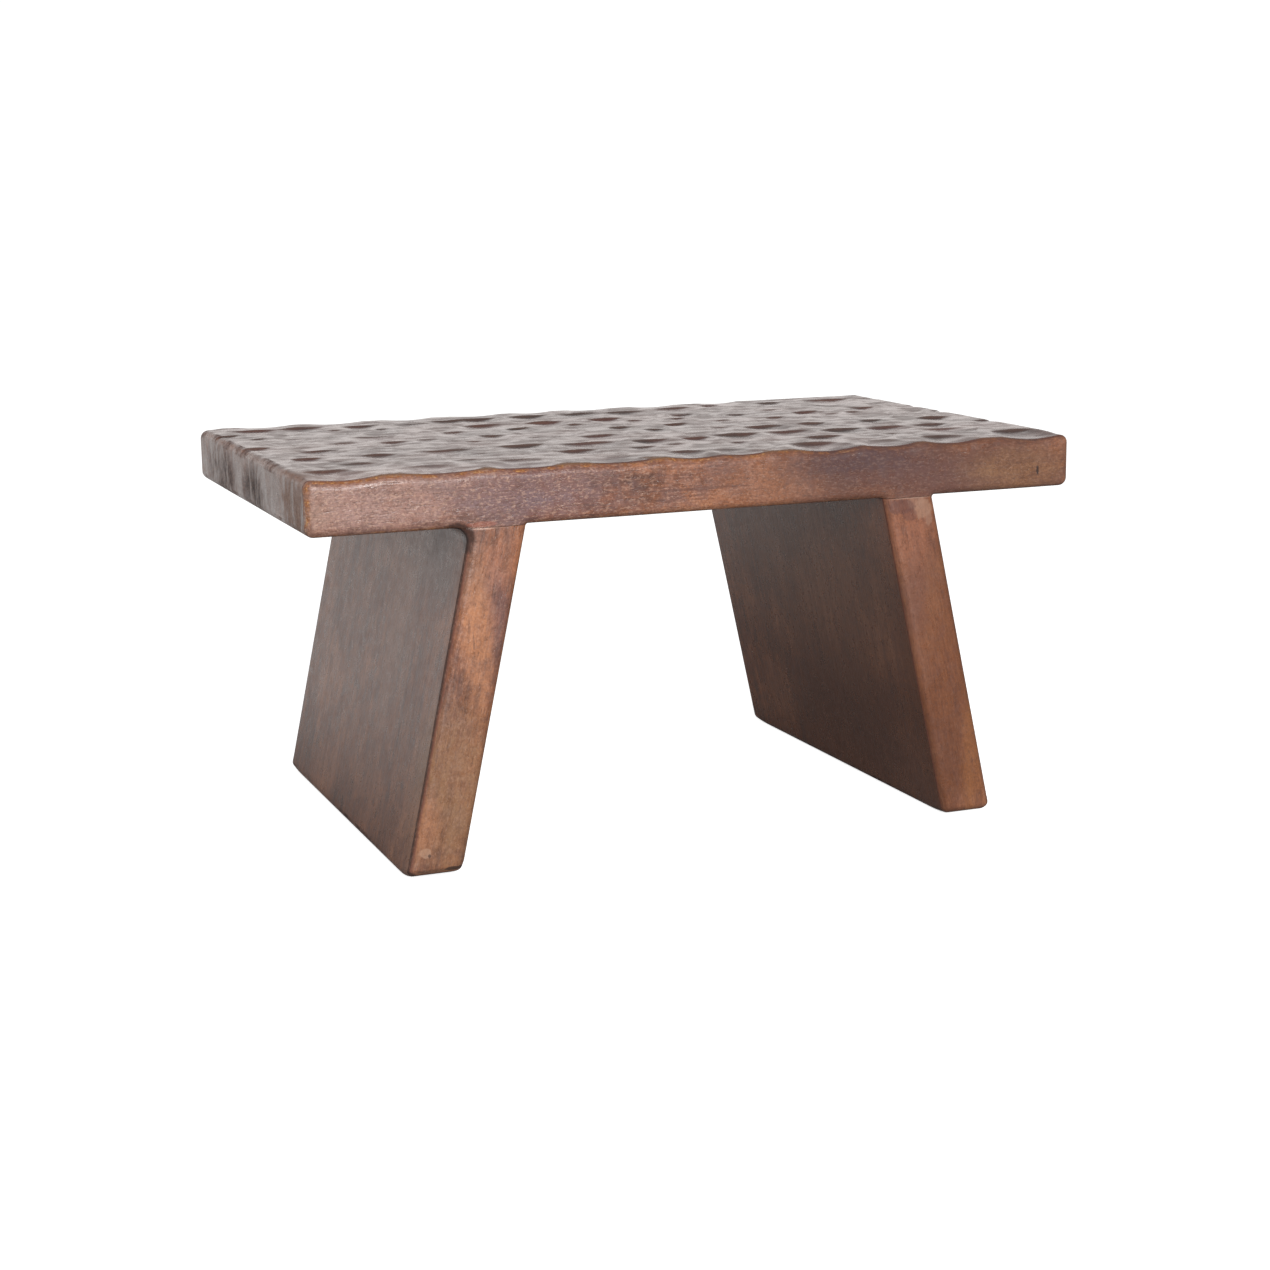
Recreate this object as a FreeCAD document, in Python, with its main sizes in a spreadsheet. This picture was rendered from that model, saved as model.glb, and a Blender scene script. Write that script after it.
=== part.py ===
import FreeCAD, Part
import math
import os

import Sketcher

# Low slab stool: a plank seat with a gouge-carved top stands on two slab legs that splay
# outwards, each held under the seat by a row of blind dowels.
# Millimetres, +X along the seat, -Y is the front, +Z up. The origin is on the floor, below
# the middle of the seat.

NODE_FOLDER = "parts"

# Driving sizes, in millimetres and degrees: name, value, what it is
DRIVING_SIZES = [
    ("seat_length", 500, "seat plank, end to end"),
    ("seat_depth", 298, "seat plank and both legs, front to back"),
    ("seat_thickness", 34, "seat plank, underside to the crests of the carving"),
    ("clear_height", 210, "floor to the underside of the seat"),
    ("leg_thickness", 34, "leg slab, square to its face"),
    ("leg_lean", 12.3, "lean of each leg from upright, foot outwards"),
    ("leg_inset", 98, "end of the seat to the outer face of a leg, at the underside"),
    ("edge_round", 5.5, "radius of every rounded arris"),
    ("dowel_diameter", 10, "beech dowel"),
    ("dowel_count", 4, "dowels in each leg"),
    ("dowel_margin", 40, "front or back face to the nearest dowel's centre"),
    ("seat_bore_depth", 20, "blind bore for a dowel, up into the seat"),
    ("leg_bore_depth", 35, "blind bore for a dowel, down into the leg"),
    ("dowel_end_room", 0.8, "glue room beyond each end of a dowel"),
    ("dowel_side_room", 0.1, "glue film between a dowel and its bore"),
    ("dowel_chamfer", 1, "chamfer on both ends of a dowel"),
    ("flute_count", 8, "glue flutes round a dowel"),
    ("flute_width", 1, "width of a glue flute"),
    ("flute_depth", 0.5, "depth of a glue flute"),
    ("gouge_radius", 90, "radius of the hollow that the gouge leaves"),
    ("gouge_depth", 3, "usual depth of a hollow below the crests"),
    ("cut_overrun", 1, "how far a cutting shape passes the face that it cuts"),
]

# Hollows of the carved top, row by row from the back edge to the front edge.
# Each row: its place as a share of the seat's depth, then its hollows from the left end
# to the right as shares of the seat's length.
HOLLOW_ROW_SHARES = [
    (-0.012, [-0.010, 0.086, 0.190, 0.296, 0.394, 0.480, 0.560, 0.650, 0.756, 0.874, 0.984]),
    (0.131, [-0.016, 0.060, 0.126, 0.200, 0.274, 0.360, 0.440, 0.516, 0.590, 0.666, 0.732,
             0.816, 0.926, 1.006]),
    (0.255, [0.014, 0.084, 0.156, 0.254, 0.350, 0.440, 0.530, 0.640, 0.740, 0.824, 0.910,
             0.990]),
    (0.362, [0.040, 0.110, 0.180, 0.290, 0.384, 0.466, 0.556, 0.624, 0.710, 0.810, 0.900,
             0.986]),
    (0.470, [0.020, 0.100, 0.180, 0.250, 0.320, 0.410, 0.504, 0.590, 0.666, 0.740, 0.804,
             0.880, 0.980]),
    (0.584, [0.006, 0.084, 0.170, 0.260, 0.356, 0.450, 0.540, 0.610, 0.684, 0.756, 0.836,
             0.930, 1.008]),
    (0.705, [0.050, 0.140, 0.230, 0.326, 0.414, 0.494, 0.554, 0.614, 0.686, 0.756, 0.824,
             0.886, 0.976]),
    (0.829, [0.010, 0.086, 0.184, 0.280, 0.370, 0.450, 0.530, 0.610, 0.696, 0.790, 0.880,
             0.960]),
    (0.923, [0.036, 0.104, 0.174, 0.260, 0.330, 0.410, 0.486, 0.570, 0.650, 0.736, 0.824,
             0.890, 0.954]),
    (1.012, [-0.010, 0.090, 0.158, 0.260, 0.374, 0.460, 0.540, 0.620, 0.700, 0.790, 0.880,
             0.980]),
]
HOLLOW_DEPTH_VARY_SHARE = 0.15
HOLLOW_DEPTH_BEAT_SHARE = 0.38
CARVING_PASSES = 4

# Where the parts meet, as sums of the driving sizes
LEG_WIDTH = "(sizes.leg_thickness / cos(sizes.leg_lean))"
LEG_OUTER_TOP = "(sizes.seat_length / 2 - sizes.leg_inset)"
LEG_INNER_TOP = f"({LEG_OUTER_TOP} - {LEG_WIDTH})"
LEG_SPLAY = "(sizes.clear_height * tan(sizes.leg_lean))"
DOWEL_LINE = (f"({LEG_OUTER_TOP} - {LEG_WIDTH} / 2"
              " + sizes.leg_bore_depth / 2 * tan(sizes.leg_lean))")
BORE_RADIUS = "(sizes.dowel_diameter / 2 + sizes.dowel_side_room)"
DOWEL_LENGTH = "(sizes.seat_bore_depth + sizes.leg_bore_depth - 2 * sizes.dowel_end_room)"


def make_sizes(doc):
    """Fill the sheet of driving sizes, one named cell each."""
    sheet = doc.addObject("Spreadsheet::Sheet", "sizes")
    for row, (name, value, meaning) in enumerate(DRIVING_SIZES, start=1):
        sheet.set(f"A{row}", name)
        sheet.set(f"B{row}", str(value))
        sheet.set(f"C{row}", meaning)
        sheet.setAlias(f"B{row}", name)
    doc.recompute()
    return sheet


def origin_feature(body, role):
    """Return the plane or axis of a body's origin that has the given role."""
    for feature in body.Origin.OriginFeatures:
        if feature.Role == role:
            return feature
    raise ValueError(f"{body.Label} has no {role}")


def new_body(doc, label):
    """Start a piece of wood as a body of its own."""
    body = doc.addObject("PartDesign::Body", label)
    body.Label = label
    return body


def new_sketch(body, name, role, height=None):
    """Start a sketch on one of the body's origin planes, raised to a height if one is given."""
    sketch = body.newObject("Sketcher::SketchObject", name)
    sketch.AttachmentSupport = [(origin_feature(body, role), "")]
    sketch.MapMode = "FlatFace"
    if height:
        sketch.setExpression("AttachmentOffset.Base.z", height)
    return sketch


def bind(sketch, kind, references, expression):
    """Add one dimension to a sketch and tie it to an expression of the named sizes."""
    value = float(sketch.evalExpression(expression))
    index = sketch.addConstraint(Sketcher.Constraint(kind, *references, value))
    sketch.setExpression(f"Constraints[{index}]", expression)


def place_point(sketch, geometry, end, across, along):
    """Hold one point of a sketch at a distance across and along from the sketch's origin."""
    bind(sketch, "DistanceX", (-1, 1, geometry, end), across)
    bind(sketch, "DistanceY", (-1, 1, geometry, end), along)


def point_at(sketch, across, along):
    """Work out a point of a sketch from two expressions."""
    return FreeCAD.Vector(float(sketch.evalExpression(across)),
                          float(sketch.evalExpression(along)), 0)


def draw_polygon(sketch, corners):
    """Draw a closed outline whose corners follow pairs of expressions."""
    points = [point_at(sketch, *corner) for corner in corners]
    for number, point in enumerate(points):
        following = points[(number + 1) % len(points)]
        sketch.addGeometry(Part.LineSegment(point, following))
    for number, corner in enumerate(corners):
        following = (number + 1) % len(corners)
        sketch.addConstraint(Sketcher.Constraint("Coincident", number, 2, following, 1))
        place_point(sketch, number, 1, *corner)


def draw_circle(sketch, across, along, radius):
    """Draw a circle whose centre and radius follow expressions."""
    centre = point_at(sketch, across, along)
    size = float(sketch.evalExpression(radius))
    circle = sketch.addGeometry(Part.Circle(centre, FreeCAD.Vector(0, 0, 1), size))
    place_point(sketch, circle, 3, across, along)
    bind(sketch, "Radius", (circle,), radius)


def draw_rounded_rectangle(sketch, left, right, front, back, radius):
    """Draw a rectangle with rounded corners whose sides follow expressions."""
    corners = [(left, front, 1, 1), (right, front, -1, 1),
               (right, back, -1, -1), (left, back, 1, -1)]
    size = float(sketch.evalExpression(radius))
    quarter = math.pi / 2
    for number, (across, along, inward, deeper) in enumerate(corners):
        centre_across = f"({across} + ({inward}) * {radius})"
        centre_along = f"({along} + ({deeper}) * {radius})"
        centre = point_at(sketch, centre_across, centre_along)
        circle = Part.Circle(centre, FreeCAD.Vector(0, 0, 1), size)
        start = math.pi + number * quarter
        sketch.addGeometry(Part.ArcOfCircle(circle, start, start + quarter))
        place_point(sketch, number, 3, centre_across, centre_along)
        bind(sketch, "Radius", (number,), radius)
    arcs = list(sketch.Geometry)
    for number, arc in enumerate(arcs):
        following = (number + 1) % len(arcs)
        side = sketch.addGeometry(Part.LineSegment(arc.EndPoint, arcs[following].StartPoint))
        sketch.addConstraint(Sketcher.Constraint("Tangent", number, 2, side, 1))
        sketch.addConstraint(Sketcher.Constraint("Tangent", side, 2, following, 1))


def add_pad(body, name, sketch, length, middle=False):
    """Raise a sketch into wood by an expression, or by half of it to each side."""
    pad = body.newObject("PartDesign::Pad", name)
    pad.Profile = (sketch, [""])
    pad.setExpression("Length", length)
    if middle:
        pad.SideType = "Symmetric"
    body.Document.recompute()
    return pad


def add_pocket(body, name, sketch, depth, upwards=False):
    """Cut a sketch into wood by an expression, and make sure that it took wood away."""
    before = body.Shape.Volume
    pocket = body.newObject("PartDesign::Pocket", name)
    pocket.Profile = (sketch, [""])
    pocket.setExpression("Length", depth)
    pocket.Reversed = upwards
    body.Document.recompute()
    if body.Shape.Volume >= before:
        raise ValueError(f"{name} of {body.Label} cuts nothing")
    return pocket


def add_fillet(body, name, base, edges, radius):
    """Round the named edges of a feature, or all of them where none is named."""
    fillet = body.newObject("PartDesign::Fillet", name)
    fillet.Base = (base, edges)
    fillet.UseAllEdges = not edges
    fillet.setExpression("Radius", radius)
    body.Document.recompute()
    return fillet


def dowel_along(number):
    """Return the place of a dowel along its row, front to back, as an expression."""
    return (f"(-sizes.seat_depth / 2 + sizes.dowel_margin + {number}"
            " * (sizes.seat_depth - 2 * sizes.dowel_margin) / (sizes.dowel_count - 1))")


def draw_bores(sketch, sheet, side):
    """Draw the row of dowel bores that one leg needs."""
    for number in range(int(sheet.dowel_count)):
        draw_circle(sketch, f"(({side}) * {DOWEL_LINE})", dowel_along(number), BORE_RADIUS)


def make_seat_blank(doc, sheet):
    """Make the seat plank before it is carved, with its rounded arrises and dowel bores.

    Its lower arris isn't rounded where a leg stands: there the front and back faces run
    on down the leg, over a land as high as the rounding.
    """
    body = new_body(doc, "seat_blank")
    body.setExpression("Placement.Base.z", "sizes.clear_height")
    front = "(-sizes.seat_depth / 2)"
    back = "(sizes.seat_depth / 2)"
    plan = new_sketch(body, "seat_plan", "XY_Plane")
    left_end = "(-sizes.seat_length / 2)"
    right_end = "(sizes.seat_length / 2)"
    draw_polygon(plan, [(left_end, front), (right_end, front),
                        (right_end, back), (left_end, back)])
    plank = add_pad(body, "plank", plan, "sizes.seat_thickness")
    add_fillet(body, "plank_arrises", plank, [], "sizes.edge_round")
    for name, side in (("left", -1), ("right", 1)):
        land = new_sketch(body, f"{name}_land_plan", "XY_Plane")
        edges = [f"(({side}) * {LEG_OUTER_TOP})", f"(({side}) * {LEG_INNER_TOP})"]
        if side > 0:
            edges.reverse()
        draw_rounded_rectangle(land, *edges, front, back, "sizes.edge_round")
        add_pad(body, f"{name}_land", land, "sizes.edge_round")
        bores = new_sketch(body, f"{name}_bores", "XY_Plane")
        draw_bores(bores, sheet, side)
        add_pocket(body, f"{name}_dowel_bores", bores, "sizes.seat_bore_depth", upwards=True)
    return body


def make_hollow(doc, name, across_share, back_share, depth_share):
    """Make the low dome that one stroke of the gouge takes out of the seat's top."""
    dome = doc.addObject("Part::Sphere", name)
    depth = f"(sizes.gouge_depth * {depth_share})"
    dome.setExpression("Radius", "sizes.gouge_radius")
    dome.Angle1 = -90
    dome.setExpression("Angle2", f"-asin((sizes.gouge_radius - {depth} - sizes.cut_overrun)"
                                 " / sizes.gouge_radius)")
    dome.setExpression("Placement.Base.x", f"sizes.seat_length * ({across_share} - 0.5)")
    dome.setExpression("Placement.Base.y", f"sizes.seat_depth * (0.5 - {back_share})")
    dome.setExpression("Placement.Base.z", "sizes.clear_height + sizes.seat_thickness"
                                           f" + sizes.gouge_radius - {depth}")
    return dome


def carve_seat(doc, blank):
    """Carve the hollows in passes, so that no two hollows of one pass touch."""
    passes = [[] for _ in range(CARVING_PASSES)]
    stroke = 0
    for row, (back_share, places) in enumerate(HOLLOW_ROW_SHARES):
        for column, across_share in enumerate(places):
            beat = math.sin(math.tau * HOLLOW_DEPTH_BEAT_SHARE * stroke)
            depth_share = round(1 + HOLLOW_DEPTH_VARY_SHARE * beat, 3)
            dome = make_hollow(doc, f"hollow_{stroke}", across_share, back_share, depth_share)
            passes[row % 2 * 2 + column % 2].append(dome)
            stroke += 1
    wood = blank
    for number, domes in enumerate(passes, start=1):
        strokes = doc.addObject("Part::Compound", f"strokes_{number}")
        strokes.Links = domes
        carved = doc.addObject("Part::Cut", f"carved_{number}")
        carved.Base = wood
        carved.Tool = strokes
        wood = carved
    wood.Label = "seat"
    doc.recompute()
    return wood


def make_leg(doc, sheet, name, side):
    """Make one leaning slab leg, cut level at its top and its sole."""
    body = new_body(doc, name)
    section = new_sketch(body, f"{name}_section", "XZ_Plane")
    outline = [(LEG_OUTER_TOP, "sizes.clear_height"), (LEG_INNER_TOP, "sizes.clear_height"),
               (f"({LEG_INNER_TOP} + {LEG_SPLAY})", "0"),
               (f"({LEG_OUTER_TOP} + {LEG_SPLAY})", "0")]
    draw_polygon(section, [(f"(({side}) * {across})", up) for across, up in outline])
    slab = add_pad(body, f"{name}_slab", section, "sizes.seat_depth", middle=True)
    joint_height = float(sheet.clear_height)
    loose_edges = []
    for number, edge in enumerate(slab.Shape.Edges, start=1):
        if not all(math.isclose(point.Z, joint_height) for point in edge.Vertexes):
            loose_edges.append(f"Edge{number}")
    add_fillet(body, f"{name}_arrises", slab, loose_edges, "sizes.edge_round")
    bores = new_sketch(body, f"{name}_bores", "XY_Plane", "sizes.clear_height")
    draw_bores(bores, sheet, side)
    add_pocket(body, f"{name}_dowel_bores", bores, "sizes.leg_bore_depth")
    return body


def make_dowel(doc, name, side, number):
    """Make one fluted dowel, standing in the bores of a leg and the seat."""
    body = new_body(doc, name)
    body.setExpression("Placement.Base.x", f"({side}) * {DOWEL_LINE}")
    body.setExpression("Placement.Base.y", dowel_along(number))
    body.setExpression("Placement.Base.z", "sizes.clear_height - sizes.leg_bore_depth"
                                           " + sizes.dowel_end_room")
    section = new_sketch(body, f"{name}_section", "XY_Plane")
    draw_circle(section, "0", "0", "sizes.dowel_diameter / 2")
    rod = add_pad(body, f"{name}_rod", section, DOWEL_LENGTH)
    chamfer = body.newObject("PartDesign::Chamfer", f"{name}_ends")
    rims = [f"Edge{place}" for place, edge in enumerate(rod.Shape.Edges, start=1)
            if isinstance(edge.Curve, Part.Circle)]
    chamfer.Base = (rod, rims)
    chamfer.setExpression("Size", "sizes.dowel_chamfer")
    doc.recompute()
    flute_plan = new_sketch(body, f"{name}_flute_plan", "XY_Plane")
    half_width = "sizes.flute_width / 2"
    bottom = "(sizes.dowel_diameter / 2 - sizes.flute_depth)"
    brim = "(sizes.dowel_diameter / 2 + sizes.cut_overrun)"
    draw_polygon(flute_plan, [(bottom, f"-{half_width}"), (brim, f"-{half_width}"),
                              (brim, half_width), (bottom, half_width)])
    flute = add_pocket(body, f"{name}_flute", flute_plan, DOWEL_LENGTH, upwards=True)
    flutes = body.newObject("PartDesign::PolarPattern", f"{name}_flutes")
    flutes.Originals = [flute]
    flutes.Axis = (origin_feature(body, "Z_Axis"), [""])
    flutes.Angle = 360
    flutes.setExpression("Occurrences", "sizes.flute_count")
    body.Tip = flutes
    doc.recompute()
    return body


def check_document(doc):
    """Stop if any step of the model failed."""
    for item in doc.Objects:
        if "Invalid" in item.State or "Error" in item.State:
            raise ValueError(f"{item.Label} failed: {item.State}")


def write_pieces(pieces):
    """Check each piece and write it to a file named by its label."""
    for piece in pieces:
        if piece.Shape.isNull() or not piece.Shape.isValid() or len(piece.Shape.Solids) != 1:
            raise ValueError(f"{piece.Label} is not one sound solid")
    os.makedirs(NODE_FOLDER, exist_ok=True)
    for piece in pieces:
        piece.Shape.exportStep(os.path.join(NODE_FOLDER, f"{piece.Label}.step"))
        print(f"{piece.Label}: {piece.Shape.Volume:.0f} mm3")


def main():
    """Build the stool and write its pieces."""
    doc = FreeCAD.newDocument("slab_stool")
    sheet = make_sizes(doc)
    pieces = [carve_seat(doc, make_seat_blank(doc, sheet))]
    for name, side in (("left", -1), ("right", 1)):
        pieces.append(make_leg(doc, sheet, f"{name}_leg", side))
        for number in range(int(sheet.dowel_count)):
            pieces.append(make_dowel(doc, f"{name}_leg_dowel_{number + 1}", side, number))
    check_document(doc)
    write_pieces(pieces)


main()
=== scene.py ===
import math

import bmesh
import bpy
from mathutils import Matrix, Vector


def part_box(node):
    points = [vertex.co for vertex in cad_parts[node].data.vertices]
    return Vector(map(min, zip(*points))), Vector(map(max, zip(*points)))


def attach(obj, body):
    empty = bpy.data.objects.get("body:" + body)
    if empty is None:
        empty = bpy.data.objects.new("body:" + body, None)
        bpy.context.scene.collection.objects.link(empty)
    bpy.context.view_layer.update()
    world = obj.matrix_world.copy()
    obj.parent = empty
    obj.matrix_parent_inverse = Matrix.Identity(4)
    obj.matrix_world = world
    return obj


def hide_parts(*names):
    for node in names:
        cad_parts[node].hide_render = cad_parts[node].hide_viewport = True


bl_info = {
    "name": "Carved Slab Stool",
    "version": (1, 0, 0),
    "blender": (4, 5, 0),
    "location": "3D View > Sidebar > Stool",
    "description": "Builds a low hardwood stool with a gouge-carved seat on splayed slab legs",
    "category": "Add Mesh",
}

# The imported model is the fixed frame: each piece takes its place from it. Metres.
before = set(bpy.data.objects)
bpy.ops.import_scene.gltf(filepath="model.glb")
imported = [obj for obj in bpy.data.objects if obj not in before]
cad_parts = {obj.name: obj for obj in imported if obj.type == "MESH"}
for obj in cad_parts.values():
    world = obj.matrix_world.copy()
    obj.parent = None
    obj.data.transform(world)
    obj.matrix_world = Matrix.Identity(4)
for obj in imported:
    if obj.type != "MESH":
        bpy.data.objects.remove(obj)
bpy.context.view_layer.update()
SEAT_LOW, SEAT_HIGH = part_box("seat")
LEG_BOXES = {side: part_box(f"{side}_leg") for side in ("left", "right")}
SIDE_SIGNS = {"left": -1, "right": 1}
DOWELS = sorted(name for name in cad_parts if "dowel" in name)
BODY = "root"
JOINT_LEVEL = SEAT_LOW.z

MM = 0.001
# Places nearer than the first are taken as one, and vertices nearer than the second are
# joined. A facing whose part in some direction is under the third is square to it.
TOUCH, WELD, SQUARE = MM / 1000, MM / 100, 0.01

# Scoops of the carved top, row by row from the back edge to the front edge. The gouge
# stopped short at the far end of each, which left a steep wall there and a long gentle
# slope this side of it. Each scoop: how far right and how far back of the seat's middle its
# wall is, the width of the wall, in millimetres, and its depth as a share of the usual one.
SCOOP_ROWS = [
    [(-250, 158, 24, 0.8), (-207, 158, 32, 0.95), (-156, 158, 32, 0.95),
     (-105, 158, 28, 0.95), (-55, 158, 28, 0.9), (-13, 158, 24, 0.9), (30, 158, 26, 0.9),
     (80, 158, 28, 0.95), (131, 158, 26, 0.9)],
    [(-218, 126, 27, 1.1), (-186, 127, 30, 1.1), (-148, 118, 22, 0.8),
     (-110, 114, 23, 0.75), (-82, 123, 25, 1), (-62, 123, 25, 1), (-24, 125, 28, 1),
     (12, 124, 28, 1), (46, 120, 28, 1.05), (86, 128, 28, 1.1), (117, 130, 14, 0.9),
     (164, 126, 18, 0.8), (211, 128, 32, 1), (240, 121, 14, 0.25)],
    [(-242, 99, 14, 0.8), (-186, 108, 12, 0.4), (-169, 100, 10, 0.5), (-139, 92, 10, 0.45),
     (-72, 84, 26, 1.1), (-28, 82, 24, 1.1), (18, 83, 23, 1.1), (77, 83, 18, 0.9),
     (143, 81, 13, 0.4), (188, 90, 14, 0.4), (231, 88, 14, 0.25)],
    [(-227, 73, 11, 0.5), (-208, 61, 15, 0.45), (-157, 51, 28, 0.75), (-102, 51, 16, 0.7),
     (-56, 53, 15, 0.85), (-13, 58, 13, 0.7), (32, 63, 16, 0.75), (64, 60, 10, 0.5),
     (109, 62, 14, 0.5), (160, 58, 20, 1.1), (209, 66, 20, 0.95), (247, 57, 12, 0.4)],
    [(-240, 21, 17, 0.9), (-184, 24, 17, 0.6), (-153, 15, 18, 0.6), (-130, 18, 14, 0.5),
     (-85, 20, 17, 0.7), (7, 26, 14, 0.75), (49, 28, 16, 0.9), (85, 32, 10, 0.4),
     (126, 33, 14, 0.6), (171, 38, 11, 0.4), (189, 41, 11, 0.5), (226, 32, 18, 0.4),
     (244, 18, 12, 0.5)],
    [(-207, -9, 22, 0.95), (-160, -5, 15, 0.4), (-105, -7, 11, 0.4), (-62, -3, 13, 0.4),
     (-22, -10, 24, 1.15), (24, 5, 15, 0.9), (67, -6, 16, 0.45), (96, -12, 26, 1.15),
     (132, -11, 20, 0.95), (175, -13, 18, 0.95), (220, -16, 21, 1.2)],
    [(-224, -45, 17, 1.05), (-179, -46, 20, 0.9), (-134, -43, 28, 0.9),
     (-86, -39, 28, 1.15), (-43, -46, 33, 1.15), (-2, -51, 24, 1.1), (29, -52, 19, 1.1),
     (60, -45, 30, 1.3), (96, -46, 30, 1.3), (133, -52, 27, 1.15), (163, -54, 27, 1.2),
     (198, -53, 24, 1.2), (242, -50, 15, 0.7)],
    [(-211, -67, 14, 0.4), (-122, -69, 13, 0.45), (-83, -66, 11, 0.4), (4, -79, 11, 0.4),
     (-202, -82, 26, 0.75), (-139, -95, 16, 0.45), (-62, -81, 22, 1.1), (-19, -84, 18, 0.7),
     (43, -89, 12, 0.45), (103, -84, 25, 0.95), (149, -92, 12, 0.45), (194, -81, 34, 0.85)],
]
# Scoops that run out over the front edge. The last value is how long the wall is, as a
# share of the usual one.
FRONT_SCOOPS = [
    (-227, -108, 27, 0.70, 1.2), (-167, -112, 28, 0.50, 1.2), (-114, -107, 26, 0.48, 1.2),
    (-58, -116, 28, 0.60, 3.0), (-7, -116, 23, 0.62, 1.2), (24, -120, 20, 0.60, 3.0),
    (81, -113, 27, 0.95, 1.8), (124, -120, 24, 0.80, 3.0), (168, -116, 24, 0.85, 1.4),
    (227, -109, 28, 1.10, 1.2),
]

# How far the end of each sole is worn up, in millimetres
FOOT_WEAR = {("left", "front"): 6.0, ("left", "back"): 2.0,
             ("right", "front"): 1.8, ("right", "back"): 1.5}

# The slow waves of hand sanding and the ripple between the scoops. Each wave is a product of
# sines, and each sine is given as its radians a metre along X, Y and Z, and its start.
SANDING_WAVES = (((31, 17, 0, 1.3), (0, -29, 23, 0.4)),
                 ((-13, 47, 0, 2.1), (37, 0, 11, math.pi / 2)))
RIPPLE_WAVES = (((205, 70, 0, 0.7), (-60, 230, 0, 1.9)),
                ((120, -270, 0, 2.6), (90, 160, 0, 0.2)))

# The stage: metres, radians, millimetres of the lens, and watts
CAMERA_PLACE = (-0.551, -1.4135, 0.4129)
CAMERA_YAW, CAMERA_PITCH, CAMERA_ROLL = -0.3764, 0.1992, -0.0130
LENS, SENSOR = 65.4, 36
KEY_PLACE, KEY_AIM = (-0.22, -2.40, 0.98), (0, 0, 0.12)
KEY_WIDTH, KEY_POWER = 1.2, 86
FLOOR_RADIUS, FLOOR_SIDES = 40, 96

# Broad zones of colour, then small marks: centre and half size in millimetres, colour and
# strength. A fifth value says how matt the lacquer is there. Most are the stain and its marks;
# some are painted shade and some painted sheen, as said beside them.
SEAT_ZONES = [
    ((-215, -149, 227), (62, 30, 26), (0.27, 0.155, 0.128), 0.80),
    ((-115, -149, 228), (48, 25, 18), (0.130, 0.076, 0.082), 0.75),
    ((45, -149, 224), (34, 25, 14), (0.31, 0.130, 0.066), 0.70),
    # Partly painted shade: this darker zone over the right of the seat's front is partly the
    # stain and partly stands in for the light falling off towards the right.
    ((140, -149, 228), (100, 25, 24), (0.090, 0.040, 0.029), 0.75),
    ((105, -149, 233), (46, 25, 12), (0.072, 0.038, 0.038), 0.85),
    ((150, -149, 220), (38, 25, 12), (0.100, 0.047, 0.040), 0.65),
    ((212, -149, 222), (34, 30, 13), (0.20, 0.100, 0.050), 0.70),
    ((-250, 75, 222), (20, 34, 15), (0.034, 0.019, 0.016), 0.95, 1.0),
    # Partly the end's own paler patch, partly painted sheen of the lacquer: a pale grey zone
    # on the seat's left end.
    ((-250, 27, 226), (20, 12, 18), (0.22, 0.165, 0.15), 0.50),
    ((-250, -17, 222), (20, 28, 14), (0.034, 0.021, 0.017), 0.95, 0.9),
    # Partly the end's own paler patch, partly painted sheen of the lacquer: a pale grey zone
    # on the seat's left end.
    ((-250, -68, 227), (20, 20, 18), (0.24, 0.185, 0.165), 0.55),
    ((-250, -122, 226), (20, 28, 18), (0.205, 0.108, 0.066), 0.85, 0.8),
]
SEAT_MARKS = [
    ((226.2, -149, 222.0), (0.9, 4, 3.0), (0.02, 0.012, 0.012), 0.85),
    ((-8, -149, 224.4), (34, 4, 0.8), (0.07, 0.030, 0.024), 0.45),
    # Painted shade: darkens the web in the corner under the seat's left end, where its
    # rounding turns into shade.
    ((-159.5, -147, 204), (10, 12, 10), (0.030, 0.014, 0.011), 0.75),
    ((-146, -149, 212.0), (9, 4, 1.6), (0.28, 0.085, 0.050), 0.40),
]
LEG_ZONES = {
    "left": [
        ((-138, -149, 165), (7, 25, 26), (0.175, 0.090, 0.085), 0.50),
        ((-150, -149, 150), (9, 25, 45), (0.40, 0.170, 0.078), 0.62),
        ((-131, -149, 190), (14, 25, 16), (0.39, 0.155, 0.078), 0.45),
        ((-172, -149, 55), (28, 25, 50), (0.200, 0.105, 0.053), 0.70),
        ((-186, -149, 38), (9, 25, 18), (0.33, 0.140, 0.070), 0.55),
        ((-156, -100, 188), (18, 45, 26), (0.095, 0.070, 0.064), 0.55),
        ((-167, -44, 130), (30, 22, 62), (0.24, 0.130, 0.092), 0.45),
    ],
    "right": [
        # Partly painted shade: this darker zone over the right leg's front is partly its
        # redder stain and partly stands in for the light falling off towards the right.
        ((150, -149, 90), (50, 22, 110), (0.117, 0.038, 0.014), 0.66),
        ((139, -149, 150), (8, 25, 30), (0.13, 0.050, 0.036), 0.45),
        ((131, -149, 188), (20, 25, 22), (0.27, 0.100, 0.055), 0.55),
        ((182, -149, 45), (7, 25, 42), (0.23, 0.088, 0.030), 0.60),
        ((166, -149, 32), (8, 25, 26), (0.085, 0.027, 0.010), 0.45),
        # Darker over the lower part of the right leg, all through its depth.
        ((145, -40, 30), (36, 110, 62), (0.085, 0.029, 0.014), 0.80),
        ((125, -20, 150), (34, 130, 70), (0.21, 0.105, 0.066), 0.50),
    ],
}
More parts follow.
